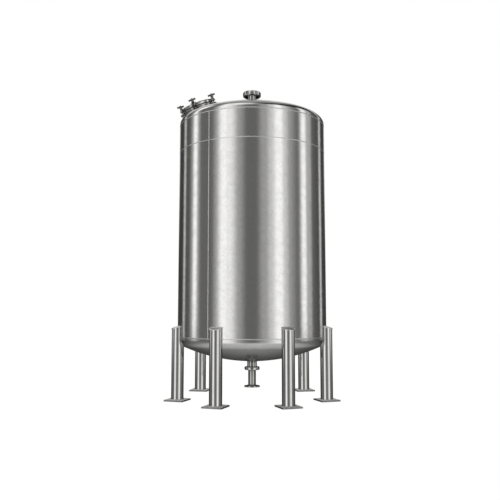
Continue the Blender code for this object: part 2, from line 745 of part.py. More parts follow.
def build_swing_bolts(parts, cutters, frame):
    bolt_mesh = swing_bolt_mesh(cutters)
    clevis = clevis_mesh(cutters)
    nut_mesh = t_nut_mesh(cutters)
    for name, angle in bolt_angles():
        station = Matrix.Rotation(angle, 4, "Z") @ Matrix.Translation((BOLT_CIRCLE, 0, -PIN_DROP))
        pin = new_empty("pin_axis_" + name, parts, frame.matrix_world @ station)
        for kind, mesh, finish in (
            ("clevis", clevis, STEEL),
            ("swing_bolt", bolt_mesh, BRIGHT_STEEL),
            ("t_nut", nut_mesh, BRIGHT_STEEL),
        ):
            piece = bpy.data.objects.new(kind + "_" + name, mesh.copy())
            place(piece, parts, steel(piece.name, finish, 0.25), pin)
            if kind == "t_nut":
                piece.rotation_euler.z = math.radians(T_NUT_TURNS[name])


def main():
    clear_scene()
    parts = new_collection("storage_tank")
    cutters = new_collection("cutters")
    envelope = tank_envelope(cutters)
    build_shell(parts)
    build_top_head(parts, cutters)
    build_bottom_head(parts)
    for name in LEG_ANGLES:
        build_leg(name, parts, cutters, envelope)
    build_top_nozzle(parts, cutters)
    build_outlet(parts, cutters)
    frame = new_empty("manway_axis", parts, manway_frame())
    bpy.context.view_layer.update()
    build_manway_neck(parts, frame, envelope)
    build_cover(parts, cutters, frame)
    build_swing_bolts(parts, cutters, frame)


main()
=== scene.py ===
# A stainless steel storage tank on six pipe legs: its finish, welds and fine shapes.
# Metres, +Z up, the front at -Y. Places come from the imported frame.
# The radii of the heads and fittings are written here, and are the same as the solids'.

import json
import math

import bmesh
import bpy
from mathutils import Matrix, Vector


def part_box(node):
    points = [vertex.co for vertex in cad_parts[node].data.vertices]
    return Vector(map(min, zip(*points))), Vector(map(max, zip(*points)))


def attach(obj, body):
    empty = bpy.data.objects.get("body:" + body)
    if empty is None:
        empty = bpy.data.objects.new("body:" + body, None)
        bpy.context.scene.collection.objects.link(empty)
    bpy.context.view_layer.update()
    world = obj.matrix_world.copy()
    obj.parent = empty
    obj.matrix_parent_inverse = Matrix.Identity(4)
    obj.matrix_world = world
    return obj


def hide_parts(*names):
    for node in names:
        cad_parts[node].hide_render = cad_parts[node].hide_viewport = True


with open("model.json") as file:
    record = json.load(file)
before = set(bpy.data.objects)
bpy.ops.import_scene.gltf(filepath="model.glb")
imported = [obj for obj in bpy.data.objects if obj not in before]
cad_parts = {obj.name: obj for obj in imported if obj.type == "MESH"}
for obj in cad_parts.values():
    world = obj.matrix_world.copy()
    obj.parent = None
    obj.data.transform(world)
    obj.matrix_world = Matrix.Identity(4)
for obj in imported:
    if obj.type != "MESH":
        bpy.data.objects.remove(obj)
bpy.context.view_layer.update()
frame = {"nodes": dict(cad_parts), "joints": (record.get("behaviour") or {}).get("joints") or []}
print("frame loaded:", len(frame["nodes"]), "nodes")


# Node tools

def wire(tree, socket, value):
    # A number or colour goes on the socket, and another node's output is linked to it.
    if isinstance(value, bpy.types.NodeSocket):
        tree.links.new(value, socket)
    else:
        socket.default_value = value


def addNode(tree, kind, inputs, **settings):
    # Adds a node, sets it up and then fills its inputs, by name or number.
    node = tree.nodes.new(kind)
    for label, value in settings.items():
        setattr(node, label, value)
    for socket, value in inputs.items():
        wire(tree, node.inputs[socket], value)
    return node


def calc(tree, operation, first, second=0.0):
    return addNode(tree, "ShaderNodeMath", {0: first, 1: second}, operation=operation).outputs[0]


def plus(tree, first, second):
    return calc(tree, "ADD", first, second)


def times(tree, first, second):
    return calc(tree, "MULTIPLY", first, second)


def smoothStep(tree, value, start, end, low=0.0, high=1.0):
    inputs = {"Value": value, "From Min": start, "From Max": end, "To Min": low, "To Max": high}
    return addNode(tree, "ShaderNodeMapRange", inputs, interpolation_type="SMOOTHSTEP").outputs["Result"]


def span(tree, value, fadeIn, full, fullEnd, fadeOut):
    # 1 between full and fullEnd, falling softly to 0 at fadeIn and fadeOut.
    rise = smoothStep(tree, value, fadeIn, full)
    fall = smoothStep(tree, value, fullEnd, fadeOut, 1.0, 0.0)
    return times(tree, rise, fall)


def mixColour(tree, share, first, second):
    inputs = {"Factor": share, "A": first, "B": second}
    return addNode(tree, "ShaderNodeMix", inputs, data_type="RGBA").outputs["Result"]


def noiseOf(tree, vector, size, detail):
    inputs = {"Vector": vector, "Scale": size, "Detail": detail}
    return addNode(tree, "ShaderNodeTexNoise", inputs).outputs["Fac"]


def xyzOf(tree, vector):
    return addNode(tree, "ShaderNodeSeparateXYZ", {0: vector}).outputs


def vectorOf(tree, x, y, z):
    return addNode(tree, "ShaderNodeCombineXYZ", {0: x, 1: y, 2: z}).outputs[0]


def scaled(tree, vector, x, y, z):
    inputs = {0: vector, 1: vectorOf(tree, x, y, z)}
    return addNode(tree, "ShaderNodeVectorMath", inputs, operation="MULTIPLY").outputs[0]


# Effects that several finishes share

def newGroup(name, inputs, output):
    # All sockets are numbers, apart from an input named Vector.
    group = bpy.data.node_groups.new(name, "ShaderNodeTree")
    for label in inputs:
        kind = "NodeSocketVector" if label == "Vector" else "NodeSocketFloat"
        group.interface.new_socket(name=label, in_out="INPUT", socket_type=kind)
    group.interface.new_socket(name=output, in_out="OUTPUT", socket_type="NodeSocketFloat")
    given = group.nodes.new("NodeGroupInput").outputs
    return group, given, group.nodes.new("NodeGroupOutput").inputs[output]


def cloudingGroup():
    # Faint smudges left by handling and wiping, large ones broken up by small ones.
    group, given, out = newGroup("clouding", ["Vector", "Size"], "Mask")
    large = noiseOf(group, given["Vector"], given["Size"], 2.0)
    small = noiseOf(group, given["Vector"], times(group, given["Size"], 4.3), 3.0)
    both = plus(group, times(group, large, 0.5), times(group, small, 0.5))
    wire(group, out, smoothStep(group, both, 0.38, 0.64))
    return group


def drawnGrainGroup():
    # Fine polishing lines that run along Z.
    group, given, out = newGroup("drawn grain", ["Vector", "Lines", "Run"], "Shade")
    stretched = scaled(group, given["Vector"], given["Lines"], given["Lines"], given["Run"])
    wire(group, out, noiseOf(group, stretched, 1.0, 3.0))
    return group


def turnedGrainGroup():
    # Fine lines that run round Z, as a lathe or a ring polisher leaves them.
    group, given, out = newGroup("turned grain", ["Vector", "Lines", "Run"], "Shade")
    x, y, z = xyzOf(group, given["Vector"])
    squares = [times(group, side, side) for side in (x, y)]
    radius = calc(group, "SQRT", plus(group, *squares))
    across = times(group, radius, given["Lines"])
    up = times(group, z, given["Lines"])
    around = times(group, calc(group, "ARCTAN2", x, y), given["Run"])
    wire(group, out, noiseOf(group, vectorOf(group, across, up, around), 1.0, 3.0))
    return group


def scuffGroup():
    # Sparse short rub marks, brighter and rougher than the surface round them.
    group, given, out = newGroup("scuffs", ["Vector", "Size"], "Mask")
    narrow = times(group, given["Size"], 9.0)
    marks = scaled(group, given["Vector"], narrow, given["Size"], narrow)
    wire(group, out, smoothStep(group, noiseOf(group, marks, 1.0, 4.0), 0.60, 0.72))
    return group


def paintedCornerShadeGroup():
    # Painted shade that darkens corners and the undersides of edges, from ambient occlusion.
    group, given, out = newGroup("painted corner shade", ["Amount"], "Mask")
    corner = addNode(group, "ShaderNodeAmbientOcclusion", {"Distance": 0.070}, samples=6)
    closed = smoothStep(group, corner.outputs["AO"], 0.30, 0.85, 1.0, 0.0)
    wire(group, out, times(group, closed, given["Amount"]))
    return group


def cutSideGroup():
    # The upright sides of a flat plate, painted darker than its flat faces by the way they face.
    group, given, out = newGroup("cut sides", ["Amount"], "Mask")
    facing = xyzOf(group, group.nodes.new("ShaderNodeNewGeometry").outputs["True Normal"])
    flat = calc(group, "ABSOLUTE", facing[2])
    upright = smoothStep(group, flat, 0.3, 0.7, 1.0, 0.0)
    wire(group, out, times(group, upright, given["Amount"]))
    return group


effects = {
    "cornerShade": paintedCornerShadeGroup(),
    "cut": cutSideGroup(),
    "clouding": cloudingGroup(),
    "drawn": drawnGrainGroup(),
    "turned": turnedGrainGroup(),
    "scuffs": scuffGroup(),
}


def effect(tree, name, **values):
    return addNode(tree, "ShaderNodeGroup", values, node_tree=effects[name]).outputs[0]


# Finishes

plainFinish = {
    "grain": "drawn", "relief": 0.02, "scuffs": 0.02, "waveDepth": 0.0001, "cornerShade": 0.0, "edge": 1.0,
}
finishes = {
    # clean and smudged colour, lowest and highest roughness, grain and its lines a metre,
    # waves a metre, painted shade in corners, how bright a grazing view stays, and how much darker upright
    # sides are painted
    "shell": {
        "clean": (0.615, 0.612, 0.602), "smudged": (0.565, 0.561, 0.550), "rough": (0.10, 0.14),
        "cloudSize": 14, "lines": 90, "run": 0.8, "relief": 0.05, "waves": 14, "waveDepth": 0.0004,
    },
    "head": {
        "clean": (0.600, 0.597, 0.587), "smudged": (0.550, 0.547, 0.537), "rough": (0.09, 0.14),
        "cloudSize": 10, "grain": "turned", "lines": 110, "run": 1.2, "relief": 0.04,
        "waves": 9, "waveDepth": 0.0004,
    },
    "leg": {
        "clean": (0.600, 0.597, 0.587), "smudged": (0.550, 0.546, 0.536), "rough": (0.05, 0.09),
        "cloudSize": 12, "lines": 160, "run": 1.5, "waves": 14, "edge": 0.3,
    },
    # The leg caps' steel is painted lighter than the legs', standing in for the light on the legs' tops.
    "cap": {
        "clean": (0.820, 0.815, 0.800), "smudged": (0.740, 0.735, 0.722), "rough": (0.38, 0.48),
        "cloudSize": 18, "lines": 300, "run": 280, "relief": 0.06, "scuffs": 0.04,
        "waves": 20, "waveDepth": 0.0002,
    },
    "plate": {
        "clean": (0.580, 0.577, 0.567), "smudged": (0.500, 0.497, 0.488), "rough": (0.30, 0.42),
        "cloudSize": 11, "lines": 420, "run": 380, "relief": 0.06, "scuffs": 0.06,
        "waves": 20, "waveDepth": 0.0002, "cornerShade": 0.45, "cut": 0.70,
    },
    "fitting": {
        "clean": (0.560, 0.556, 0.546), "smudged": (0.450, 0.447, 0.437), "rough": (0.04, 0.08),
        "cloudSize": 16, "grain": "turned", "lines": 500, "run": 1.5, "scuffs": 0.03,
        "waves": 25, "cornerShade": 0.95, "edge": 0.1,
    },
    "cover": {
        "clean": (0.560, 0.556, 0.547), "smudged": (0.470, 0.467, 0.459), "rough": (0.06, 0.11),
        "cloudSize": 12, "grain": "turned", "lines": 400, "run": 1.5, "scuffs": 0.03,
        "waves": 18, "waveDepth": 0.0002, "cornerShade": 0.8, "edge": 0.4,
    },
    # Steel painted nearly black, standing in for the shade on the lugs and clevises.
    "bracket": {
        "clean": (0.260, 0.257, 0.250), "smudged": (0.150, 0.148, 0.144), "rough": (0.10, 0.20),
        "cloudSize": 26, "lines": 400, "run": 300, "relief": 0.05, "scuffs": 0.06,
        "waves": 40, "cornerShade": 0.9, "edge": 0.3,
    },
    # Steel painted nearly black, standing in for the shade on the bolts and their nuts.
    "bolt": {
        "clean": (0.200, 0.198, 0.193), "smudged": (0.110, 0.109, 0.106), "rough": (0.10, 0.20),
        "cloudSize": 30, "grain": "turned", "lines": 1400, "run": 2, "relief": 0.05, "scuffs": 0.08,
        "waves": 40, "cornerShade": 0.8, "edge": 0.3,
    },
    "weld": {
        "clean": (0.680, 0.675, 0.662), "smudged": (0.620, 0.615, 0.603), "rough": (0.36, 0.44),
        "cloudSize": 24, "lines": 300, "run": 300, "waves": 40, "waveDepth": 0.00005, "edge": 0.8,
    },
}
finishes["underside"] = {
    **finishes["head"], "rough": (0.17, 0.23), "relief": 0.02, "waveDepth": 0.0002, "edge": 0.5,
}
# A darker copy of the fittings' steel, painted shade, for the nozzle's neck and the outlet's pieces.
finishes["shadedFitting"] = {
    **finishes["fitting"],
    "clean": (0.430, 0.427, 0.418), "smudged": (0.330, 0.327, 0.320), "rough": (0.05, 0.10),
}
# The caps' rim welds are painted lighter still, standing in for their highlights.
finishes["rimWeld"] = {
    **finishes["weld"],
    "clean": (0.880, 0.874, 0.858), "smudged": (0.800, 0.794, 0.780), "rough": (0.34, 0.44),
    "relief": 0.04, "scuffs": 0.03, "waveDepth": 0.0001, "edge": 1.0,
}
# Colours of the painted shade in corners and of the darker upright sides.
paintedDarkTones = {"corner": (0.035, 0.033, 0.030, 1.0), "cutSide": (0.080, 0.078, 0.075, 1.0)}
grainLook = {"depth": 0.0004, "from": 0.35, "full": 0.75, "tone": 0.22, "rough": 0.12}


def principled(name):
    material = bpy.data.materials.new(name)
    material.use_nodes = True
    return material, material.node_tree, material.node_tree.nodes["Principled BSDF"].inputs


def steelFinish(name, look):
    material, tree, shader = principled(name + "Steel")
    shader["Metallic"].default_value = 1.0
    shader["Specular Tint"].default_value = (look["edge"], look["edge"], look["edge"], 1.0)
    place = tree.nodes.new("ShaderNodeTexCoord").outputs["Object"]
    cloud = effect(tree, "clouding", Vector=place, Size=look["cloudSize"])
    grain = effect(tree, look["grain"], Vector=place, Lines=look["lines"], Run=look["run"])
    scuff = effect(tree, "scuffs", Vector=place, Size=look["cloudSize"])
    toned = mixColour(tree, cloud, (*look["clean"], 1.0), (*look["smudged"], 1.0))
    lines = smoothStep(tree, grain, grainLook["from"], grainLook["full"], 0.0, grainLook["tone"])
    toned = mixColour(tree, lines, toned, (*look["smudged"], 1.0))
    # Painted shade in corners, from ambient occlusion.
    if look["cornerShade"]:
        toned = mixColour(tree, effect(tree, "cornerShade", Amount=look["cornerShade"]), toned, paintedDarkTones["corner"])
    # The plate's upright sides painted darker than its flat faces.
    if "cut" in look:
        toned = mixColour(tree, effect(tree, "cut", Amount=look["cut"]), toned, paintedDarkTones["cutSide"])
    wire(tree, shader["Base Color"], toned)
    base = smoothStep(tree, cloud, 0.0, 1.0, *look["rough"])
    marked = plus(tree, base, times(tree, scuff, look["scuffs"]))
    wire(tree, shader["Roughness"], plus(tree, marked, times(tree, lines, grainLook["rough"])))
    height = noiseOf(tree, place, look["waves"], 1.0)
    waves = addNode(tree, "ShaderNodeBump", {"Distance": look["waveDepth"], "Height": height})
    inputs = {"Strength": look["relief"], "Distance": grainLook["depth"], "Height": grain}
    bump = addNode(tree, "ShaderNodeBump", {**inputs, "Normal": waves.outputs["Normal"]})
    wire(tree, shader["Normal"], bump.outputs["Normal"])
    return material


def rubberFinish():
    clean, dusty = (0.018, 0.018, 0.019, 1.0), (0.060, 0.058, 0.055, 1.0)
    material, tree, shader = principled("gasketRubber")
    place = tree.nodes.new("ShaderNodeTexCoord").outputs["Object"]
    cloud = effect(tree, "clouding", Vector=place, Size=20.0)
    grain = effect(tree, "turned", Vector=place, Lines=600.0, Run=8.0)
    wire(tree, shader["Base Color"], mixColour(tree, cloud, clean, dusty))
    wire(tree, shader["Roughness"], smoothStep(tree, grain, 0.3, 0.7, 0.45, 0.70))
    inputs = {"Strength": 0.2, "Distance": grainLook["depth"], "Height": grain}
    bump = addNode(tree, "ShaderNodeBump", inputs)
    wire(tree, shader["Normal"], bump.outputs["Normal"])
    return material


materials = {name: steelFinish(name, {**plainFinish, **look}) for name, look in finishes.items()}
materials["rubber"] = rubberFinish()
print("finishes made:", len(materials))


# Mesh tools

hairGap = 0.0003  # left between faces that would otherwise coincide
overcut = 0.01  # how far a cutter passes the piece it cuts
fineSteps = 96  # round the fittings
smallSteps = {"rod": 32, "eye": 40}  # round the bolts' pieces
sharpFrom = 38.0  # degrees between faces


def linked(obj):
    bpy.context.scene.collection.objects.link(obj)
    return obj


def meshObject(name, work):
    mesh = bpy.data.meshes.new(name)
    work.to_mesh(mesh)
    work.free()
    return linked(bpy.data.objects.new(name, mesh))


def eased(points, radius, steps=3, closed=True):
    # Rounds the corners of an outline.
    result = []
    count = len(points)
    for i in range(count):
        corner = Vector(points[i])
        if not closed and i in (0, count - 1):
            result.append(corner)
            continue
        back = Vector(points[i - 1]) - corner
        ahead = Vector(points[(i + 1) % count]) - corner
        reach = radius / math.tan(back.angle(ahead) / 2)
        if reach < radius * 0.2:
            result.append(corner)
            continue
        start = corner + back.normalized() * min(reach, back.length * 0.45)
        end = corner + ahead.normalized() * min(reach, ahead.length * 0.45)
        for k in range(steps + 1):
            t = k / steps
            result.append(start * (1 - t) ** 2 + corner * (2 * t * (1 - t)) + end * t**2)
    return [tuple(point) for point in result]


def lathe(name, profile, steps, closed=True):
    # Turns (radius, height) points round Z.
    work = bmesh.new()
    verts = [work.verts.new((radius, 0.0, height)) for radius, height in profile]
    edges = [work.edges.new(pair) for pair in zip(verts, verts[1:])]
    if closed:
        edges.append(work.edges.new((verts[-1], verts[0])))
    bmesh.ops.spin(
        work, geom=verts + edges, cent=(0, 0, 0), axis=(0, 0, 1),
        angle=2 * math.pi, steps=steps, use_merge=True,
    )
    bmesh.ops.remove_doubles(work, verts=work.verts, dist=1e-6)
    bmesh.ops.recalc_face_normals(work, faces=work.faces)
    return meshObject(name, work)


def block(name, low, high, matrix=Matrix.Identity(4)):
    work = bmesh.new()
    size = Vector(high) - Vector(low)
    middle = Matrix.Translation((Vector(high) + Vector(low)) / 2)
    bmesh.ops.create_cube(work, size=1.0, matrix=matrix @ middle @ Matrix.Diagonal((*size, 1.0)))
    return meshObject(name, work)


def rod(name, radius, start, end, steps=smallSteps["rod"], ease=0.0):
    # A round bar between two points, with rounded rims.
    run = Vector(end) - Vector(start)
    profile = [(0.0, run.length), (radius, run.length), (radius, 0.0), (0.0, 0.0)]
    if ease:
        profile = eased(profile, ease, closed=False)
    obj = lathe(name, profile, steps, closed=False)
    turn = run.to_track_quat("Z", "Y").to_matrix().to_4x4()
    obj.data.transform(Matrix.Translation(Vector(start)) @ turn)
    return obj


def joined(base, operation, others):
    # Booleans the others into the base, then removes them.
    for other in others:
        modifier = base.modifiers.new(operation.lower(), "BOOLEAN")
        modifier.operation = operation
        modifier.object = other
    bpy.context.view_layer.update()
    graph = bpy.context.evaluated_depsgraph_get()
    mesh = bpy.data.meshes.new_from_object(base.evaluated_get(graph))
    base.modifiers.clear()
    base.data = mesh
    for other in others:
        bpy.data.objects.remove(other, do_unlink=True)
    return base


def fused(base, *others):
    return joined(base, "UNION", others)


def carved(base, *others):
    return joined(base, "DIFFERENCE", others)


def softened(obj, width, angle=35.0):
    # Rounds the edges that meet at more than the angle.
    bevel = obj.modifiers.new("edges", "BEVEL")
    bevel.width = width
    bevel.segments = 2
    bevel.angle_limit = math.radians(angle)
    bevel.use_clamp_overlap = True
    return joined(obj, "UNION", [])


def dress(obj, finish, body="tank", nodes=()):
    # Gives a piece its finish, its body and the frame's nodes that it stands for.
    obj.data.materials.clear()
    obj.data.materials.append(materials[finish])
    obj.data.shade_smooth()
    obj.data.set_sharp_from_angle(angle=math.radians(sharpFrom))
    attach(obj, body)
    if nodes:
        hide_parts(*nodes)
    return obj


# Welds

beads = {
    "fillet": {"width": 0.0100, "height": 0.0042, "sunk": 0.0022, "pitch": 0.0060, "ripple": 0.14},
    "fine": {"width": 0.0060, "height": 0.0016, "sunk": 0.0015, "pitch": 0.0050, "ripple": 0.06},
    "rim": {"width": 0.0150, "height": 0.0060, "sunk": 0.0040, "pitch": 0.0080, "ripple": 0.08},
    "seam": {"width": 0.0120, "height": 0.0013, "sunk": 0.0010, "pitch": 0.0, "ripple": 0.0},
}


def resampled(path, outs, spacing, closed):
    # The path's points and their outward directions again, evenly spaced.
    loop = path + [path[0]] if closed else path
    loopOuts = outs + [outs[0]] if closed else outs
    runs = [(b - a).length for a, b in zip(loop, loop[1:])]
    count = max(8, round(sum(runs) / spacing))
    step = sum(runs) / count
    points, directions = [], []
    index, passed = 0, 0.0
    for k in range(count if closed else count + 1):
        target = min(k * step, sum(runs) - 1e-9)
        while index < len(runs) - 1 and passed + runs[index] < target:
            passed += runs[index]
            index += 1
        share = (target - passed) / max(runs[index], 1e-9)
        points.append(loop[index].lerp(loop[index + 1], share))
        directions.append(loopOuts[index].lerp(loopOuts[index + 1], share).normalized())
    return points, directions


def weldBead(name, path, outs, look, closed=True, sides=8, finish="weld"):
    # A bead laid along the path, domed outwards and sunk into the metal, with a ripple at each pitch.
    if look["pitch"]:
        path, outs = resampled(path, outs, look["pitch"] / 3, closed)
    work = bmesh.new()
    rings = []
    count = len(path)
    for i, (point, out) in enumerate(zip(path, outs)):
        ahead = path[(i + 1) % count] if closed or i + 1 < count else point
        behind = path[i - 1] if closed or i else point
        along = (ahead - behind).normalized()
        side = along.cross(out).normalized()
        swell = 1.0 + look["ripple"] * (1.0, 0.3, -0.6)[i % 3]
        ring = []
        for k in range(sides):
            turn = 2 * math.pi * k / sides
            rise = math.sin(turn)
            height = look["height"] if rise > 0 else look["sunk"]
            offset = side * (math.cos(turn) * look["width"] / 2) + out * (rise * height * swell)
            ring.append(work.verts.new(point + offset))
        rings.append(ring)
    pairs = list(zip(rings, rings[1:]))
    if closed:
        pairs.append((rings[-1], rings[0]))
    for first, second in pairs:
        for k in range(sides):
            work.faces.new((first[k], first[(k + 1) % sides], second[(k + 1) % sides], second[k]))
    if not closed:
        work.faces.new(list(reversed(rings[0])))
        work.faces.new(rings[-1])
    bmesh.ops.recalc_face_normals(work, faces=work.faces)
    return dress(meshObject(name, work), finish)


def circle(centre, radius, height, count, tilt=0.0):
    # Points round Z with outward directions that lean up by the tilt, in degrees.
    path, outs = [], []
    lean = math.radians(tilt)
    for i in range(count):
        turn = 2 * math.pi * i / count
        flat = Vector((math.sin(turn), -math.cos(turn), 0.0))
        path.append(centre + flat * radius + Vector((0, 0, height)))
        outs.append(flat * math.cos(lean) + Vector((0, 0, math.sin(lean))))
    return path, outs


def columns(stations):
    # A list of points with directions, as a list of points and one of directions.
    return [list(column) for column in zip(*stations)]


# The shell

shellLow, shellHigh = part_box("shell_main_course")
tank = {
    "axis": Vector(((shellLow.x + shellHigh.x) / 2, (shellLow.y + shellHigh.y) / 2, 0.0)),
    "radius": (shellHigh.x - shellLow.x) / 2,
    "lowerSeam": shellLow.z,
    "upperSeam": shellHigh.z,
    "topSeam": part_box("shell_top_course")[1].z,
    "wall": 0.005,
    "steps": 256,
    "seamSteps": 512,
    "longSeamAngle": -32.9,  # degrees from the front, to the left
}


def turnedOnAxis(name, profile, steps, closed=True):
    obj = lathe(name, profile, steps, closed)
    obj.location = tank["axis"]
    return obj


def ringWeld(name, radius, height, tilt, centre=tank["axis"]):
    path, outs = circle(centre, radius, height, fineSteps, tilt)
    return weldBead(name, path, outs, beads["fillet"])


def turnedPart(node, profile, ease, finish, closed=True):
    # A turned fitting on the tank's axis, with eased edges.
    obj = turnedOnAxis(node + "_fine", eased(profile, ease, closed=closed), fineSteps, closed)
    return dress(obj, finish, nodes=[node])


def makeCourse(node, low, high):
    outer = tank["radius"]
    inner = outer - tank["wall"]
    profile = [(outer, high), (outer, low), (inner, low), (inner, high)]
    dress(turnedOnAxis(node + "_skin", profile, tank["steps"]), "shell", nodes=[node])


def makeSeams():
    for name, height in (("lower", "lowerSeam"), ("upper", "upperSeam"), ("top", "topSeam")):
        look = dict(beads["seam"])
        if name == "upper":
            look["height"] *= 0.5  # ground nearly flush
        path, outs = circle(tank["axis"], tank["radius"], tank[height], tank["seamSteps"])
        weldBead("seam_" + name, path, outs, look)
    turn = math.radians(tank["longSeamAngle"])
    out = Vector((math.sin(turn), -math.cos(turn), 0.0))
    foot = tank["axis"] + out * tank["radius"]
    path = [foot + Vector((0, 0, z)) for z in (tank["lowerSeam"], tank["topSeam"])]
    weldBead("seam_long", path, [out, out], beads["seam"], closed=False)


makeCourse("shell_main_course", tank["lowerSeam"], tank["upperSeam"])
makeCourse("shell_top_course", tank["upperSeam"], tank["topSeam"])
makeSeams()
print("shell made")


# The dished heads

topHead = {
    "flange": 0.030, "knuckle": 0.086, "crown": 2.540, "seam": tank["topSeam"], "up": 1, "hole": 0.0588,
}
bottomHead = {
    "flange": 0.030, "knuckle": 0.100, "crown": 2.250, "seam": tank["lowerSeam"], "up": -1, "hole": 0.0658,
}
headSteps = {"knuckle": 16, "crown": 40}


def headCentres(head):
    # How far the knuckle's centre is from the axis and the crown's, and the crown's over the seam.
    flat = tank["radius"] - head["knuckle"]
    slant = head["crown"] - head["knuckle"]
    return flat, slant, head["flange"] - math.sqrt(slant**2 - flat**2)


def dishCurve(head, inset=0.0, hole=0.0):
    # (radius, height) points from the hole's edge to the seam, this far inside the outer face.
    flat, slant, centre = headCentres(head)
    join = math.acos(flat / slant)
    reach = head["crown"] - inset
    start = math.acos(hole / reach)
    points = []
    for i in range(headSteps["crown"]):
        angle = start + (join - start) * i / headSteps["crown"]
        points.append((reach * math.cos(angle), centre + reach * math.sin(angle)))
    for i in range(headSteps["knuckle"] + 1):
        angle = join * (1 - i / headSteps["knuckle"])
        bend = head["knuckle"] - inset
        points.append((flat + bend * math.cos(angle), head["flange"] + bend * math.sin(angle)))
    points.append((tank["radius"] - inset, 0.0))
    return [(radius, head["seam"] + head["up"] * height) for radius, height in points]


def headHeight(head, radius):
    # Height of the head's outer face at this distance from the tank's axis.
    flat, slant, centre = headCentres(head)
    if radius < head["crown"] * flat / slant:
        rise = centre + math.sqrt(head["crown"] ** 2 - radius**2)
    else:
        rise = head["flange"] + math.sqrt(max(head["knuckle"] ** 2 - (radius - flat) ** 2, 0.0))
    return head["seam"] + head["up"] * rise


def makeHead(node, head):
    outer = dishCurve(head, 0.0, head["hole"])
    inner = dishCurve(head, tank["wall"], head["hole"])
    inner.reverse()
    return turnedOnAxis(node + "_skin", outer + inner, tank["steps"])


def lowerEnvelope():
    # The lower shell and bottom head as one solid, to cut the legs against.
    curve = dishCurve(bottomHead, -hairGap)
    top = tank["lowerSeam"] + 0.4  # over the legs' tops
    profile = [(0.0, top), (tank["radius"] + hairGap, top)] + list(reversed(curve))
    return turnedOnAxis("tank_envelope", profile, tank["steps"], closed=False)


print("heads' shapes ready")


# The manway's own frame, from the four pins

def manwayFrame():
    pins = {joint["name"]: Vector(joint["pos_m"]) for joint in frame["joints"]}
    middle = sum(pins.values(), Vector()) / len(pins)
    toFront = (pins["front_bolt_hinge"] - middle).normalized()
    toRight = (pins["right_bolt_hinge"] - middle).normalized()
    axis = toFront.cross(toRight).normalized()
    turn = Matrix((toFront, axis.cross(toFront), axis)).transposed().to_4x4()
    return Matrix.Translation(middle + axis * manway["pinDrop"]) @ turn


manway = {
    "pinDrop": 0.027, "steps": 128,
    "neckRadius": 0.203, "neckWall": 0.004, "rimRadius": 0.214, "rimThickness": 0.012,
    "gasketThickness": 0.014, "gasketInset": 0.003,
    "coverTop": 0.052, "coverKnuckle": 0.016, "coverRise": 0.014, "coverWall": 0.005,
    "boltCircle": 0.230, "lugWidth": 0.066, "lugBottom": 0.016, "lugTop": 0.060, "lugReach": 0.012,
    "lugFlare": 0.015, "slotHalf": 0.012, "slotReach": 0.06,
    "crownSteps": 16, "knuckleSteps": 8, "polishedTo": 0.002,
}
manwayPlace = manwayFrame()
manwayTurn = manwayPlace.to_3x3()
manwayAxis = (manwayTurn @ Vector((0, 0, 1))).normalized()


def onManway(obj):
    obj.matrix_world = manwayPlace
    return obj


def makeHeads():
    top = makeHead("top_head", topHead)
    bore = manway["neckRadius"] - manway["neckWall"]
    low, high = -0.3, 0.2  # past the head on both sides
    hole = onManway(rod("manway_hole", bore, (0, 0, low), (0, 0, high), fineSteps))
    dress(carved(top, hole), "head", nodes=["top_head"])
    dress(makeHead("bottom_head", bottomHead), "underside", nodes=["bottom_head"])


makeHeads()
print("heads made")


# Legs

legLook = {
    "radius": 0.080, "wall": 0.004, "top": 0.945, "capSlope": 0.30, "capThickness": 0.006,
    "slopeFrom": 0.5,  # the height over which a leg's top is slanted
    "rimDrop": 0.0015, "rimLean": 0.6, "steps": 72, "saddleSteps": 24, "capSteps": 32, "backSteps": 8,
}
legNames = ("front_left", "front_right", "side_left", "side_right", "back_left", "back_right")


def legFoot(name):
    low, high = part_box("base_plate_" + name)
    return Vector(((low.x + high.x) / 2, (low.y + high.y) / 2, high.z))


def outwardTurn(foot):
    flat = foot - tank["axis"]
    return math.atan2(flat.y, flat.x)


def sheared(obj):
    # Lets the top of the piece fall outwards, along its own +X.
    for vert in obj.data.vertices:
        if vert.co.z > legLook["slopeFrom"]:
            vert.co.z -= legLook["capSlope"] * vert.co.x
    return obj


def makeLeg(name, foot, envelope):
    radius = legLook["radius"]
    inner = radius - legLook["wall"]
    underCap = legLook["top"] - legLook["capThickness"]
    profile = [(radius, underCap), (radius, foot.z), (inner, foot.z), (inner, underCap)]
    pipe = sheared(lathe("leg_" + name + "_pipe", profile, legLook["steps"]))
    cap = [(0.0, legLook["top"]), (radius, legLook["top"]), (radius, underCap), (0.0, underCap)]
    cap = lathe("leg_" + name + "_cap", eased(cap, 0.002, closed=False), legLook["steps"], closed=False)
    sheared(cap)
    place = Matrix.Translation((foot.x, foot.y, 0.0)) @ Matrix.Rotation(outwardTurn(foot), 4, "Z")
    for piece, finish, node in ((pipe, "leg", "leg_" + name), (cap, "cap", "leg_cap_" + name)):
        piece.matrix_world = place
        dress(carved(piece, linked(envelope.copy())), finish, nodes=[node])
        piece.visible_glossy = False  # keeps the shell's own stripes clear beside the legs


def legPoint(foot, turn, height):
    # A point on the leg's outside, by the angle from its outward side.
    angle = outwardTurn(foot) + turn
    flat = Vector((math.cos(angle), math.sin(angle), 0.0))
    point = Vector((foot.x, foot.y, height)) + flat * legLook["radius"]
    return point, flat


def capHeight(turn):
    return legLook["top"] - legLook["capSlope"] * legLook["radius"] * math.cos(turn)


def crossingTurn(foot):
    # The angle round the leg at which its outside crosses the shell's.
    reach = (foot - tank["axis"]).to_2d().length
    radius = legLook["radius"]
    return math.acos((tank["radius"] ** 2 - reach**2 - radius**2) / (2 * reach * radius))


def shellOut(point):
    flat = point - tank["axis"]
    return Vector((flat.x, flat.y, 0.0)).normalized()


def saddleEnd(foot, edge, turn):
    # Where the weld meets the cap, beside the shell.
    point, flat = legPoint(foot, turn, capHeight(edge) - legLook["capThickness"])
    return point, (flat + shellOut(point)).normalized()


